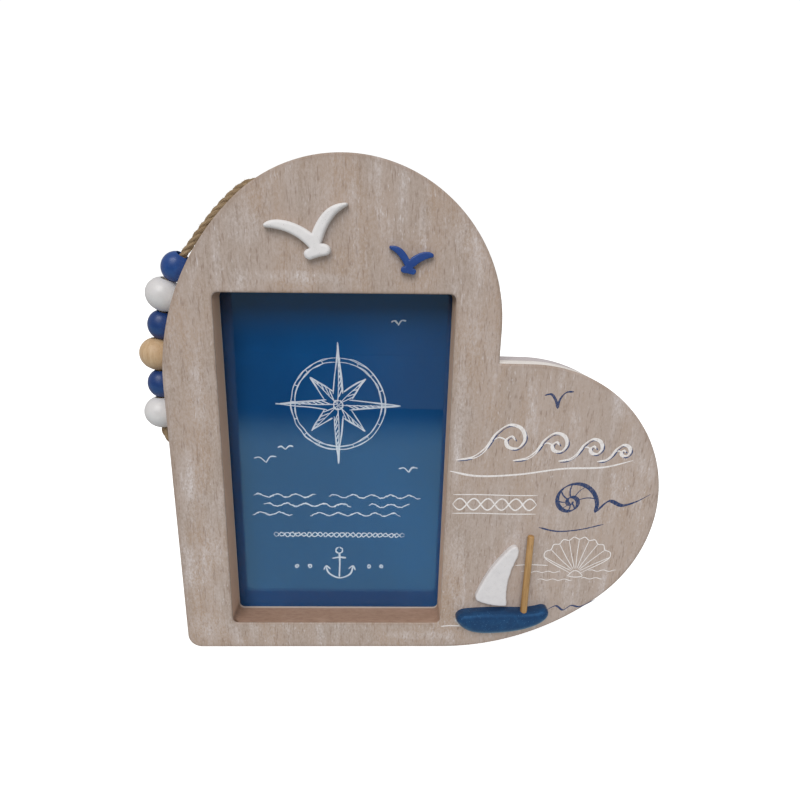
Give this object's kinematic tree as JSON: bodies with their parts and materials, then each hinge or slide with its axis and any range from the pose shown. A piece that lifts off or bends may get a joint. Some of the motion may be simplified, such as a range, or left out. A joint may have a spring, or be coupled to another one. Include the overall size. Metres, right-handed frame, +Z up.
{
  "type": "picture frame",
  "caption": "Heart-shaped standing wooden picture frame with a glazed portrait window, a beaded twine along its rim, and gull and sailing boat ornaments.",
  "frame": {"origin": "on the flat base, at half the heart's width and half the wooden block's depth", "axes": "+X to the viewer's right, +Y away from the viewer, +Z up; the front faces -Y"},
  "size_m": [0.2248, 0.0317, 0.2103],
  "materials": {
    "limed_wood": "whitewashed, matte, with a pale painted rim",
    "window_glass": "clear, polished",
    "card": "printed blue, matte",
    "fibreboard": "raw brown fibreboard",
    "brass": "satin",
    "white_paint": "white satin paint",
    "blue_paint": "blue gloss paint",
    "oiled_wood": "oiled, satin",
    "pale_wood": "natural, lightly varnished",
    "jute": "twisted jute twine"
  },
  "bodies": {
    "frame": {"frame_body": "limed_wood", "glass_pane": "window_glass", "picture_card": "card", "backing_board": "fibreboard", "turn_button_screw_1": "brass", "turn_button_screw_2": "brass", "turn_button_screw_3": "brass", "turn_button_screw_4": "brass", "white_gull": "white_paint", "blue_gull": "blue_paint", "boat_hull": "blue_paint", "boat_sail": "white_paint", "boat_mast": "oiled_wood", "twine": "jute"},
    "turn_button_1": {"turn_button_1": "brass"},
    "turn_button_2": {"turn_button_2": "brass"},
    "turn_button_3": {"turn_button_3": "brass"},
    "turn_button_4": {"turn_button_4": "brass"},
    "bead_1": {"bead_1": "blue_paint"},
    "bead_2": {"bead_2": "white_paint"},
    "bead_3": {"bead_3": "blue_paint"},
    "bead_4": {"bead_4": "pale_wood"},
    "bead_5": {"bead_5": "blue_paint"},
    "bead_6": {"bead_6": "white_paint"}
  },
  "joints": [
    {"name": "turn_button_1_pivot", "type": "hinge", "parent": "frame", "child": "turn_button_1", "pos_m": [-0.09495, 0.011, 0.05], "axis": [0, 1, 0], "continuous": true},
    {"name": "turn_button_2_pivot", "type": "hinge", "parent": "frame", "child": "turn_button_2", "pos_m": [-0.09495, 0.011, 0.124], "axis": [0, 1, 0], "continuous": true},
    {"name": "turn_button_3_pivot", "type": "hinge", "parent": "frame", "child": "turn_button_3", "pos_m": [0.02165, 0.011, 0.05], "axis": [0, 1, 0], "continuous": true},
    {"name": "turn_button_4_pivot", "type": "hinge", "parent": "frame", "child": "turn_button_4", "pos_m": [0.02165, 0.011, 0.124], "axis": [0, 1, 0], "continuous": true},
    {"name": "bead_1_spin", "type": "hinge", "parent": "frame", "child": "bead_1", "pos_m": [-0.10005, 0.00112, 0.16881], "axis": [-0.574, 0.1214, -0.8098], "continuous": true},
    {"name": "bead_2_spin", "type": "hinge", "parent": "frame", "child": "bead_2", "pos_m": [-0.10623, 0.0025, 0.15796], "axis": [-0.322, 0.1142, -0.9398], "continuous": true},
    {"name": "bead_3_spin", "type": "hinge", "parent": "frame", "child": "bead_3", "pos_m": [-0.1088, 0.00386, 0.14571], "axis": [-0.2549, 0.0853, -0.9632], "continuous": true},
    {"name": "bead_4_spin", "type": "hinge", "parent": "frame", "child": "bead_4", "pos_m": [-0.11193, 0.00463, 0.13356], "axis": [-0.0743, 0.0282, -0.9968], "continuous": true},
    {"name": "bead_5_spin", "type": "hinge", "parent": "frame", "child": "bead_5", "pos_m": [-0.11156, 0.0047, 0.12098], "axis": [-0.0407, 0.0125, -0.9991], "continuous": true},
    {"name": "bead_6_spin", "type": "hinge", "parent": "frame", "child": "bead_6", "pos_m": [-0.11262, 0.00491, 0.10843], "axis": [-0.0362, 0.0167, -0.9992], "continuous": true}
  ]
}
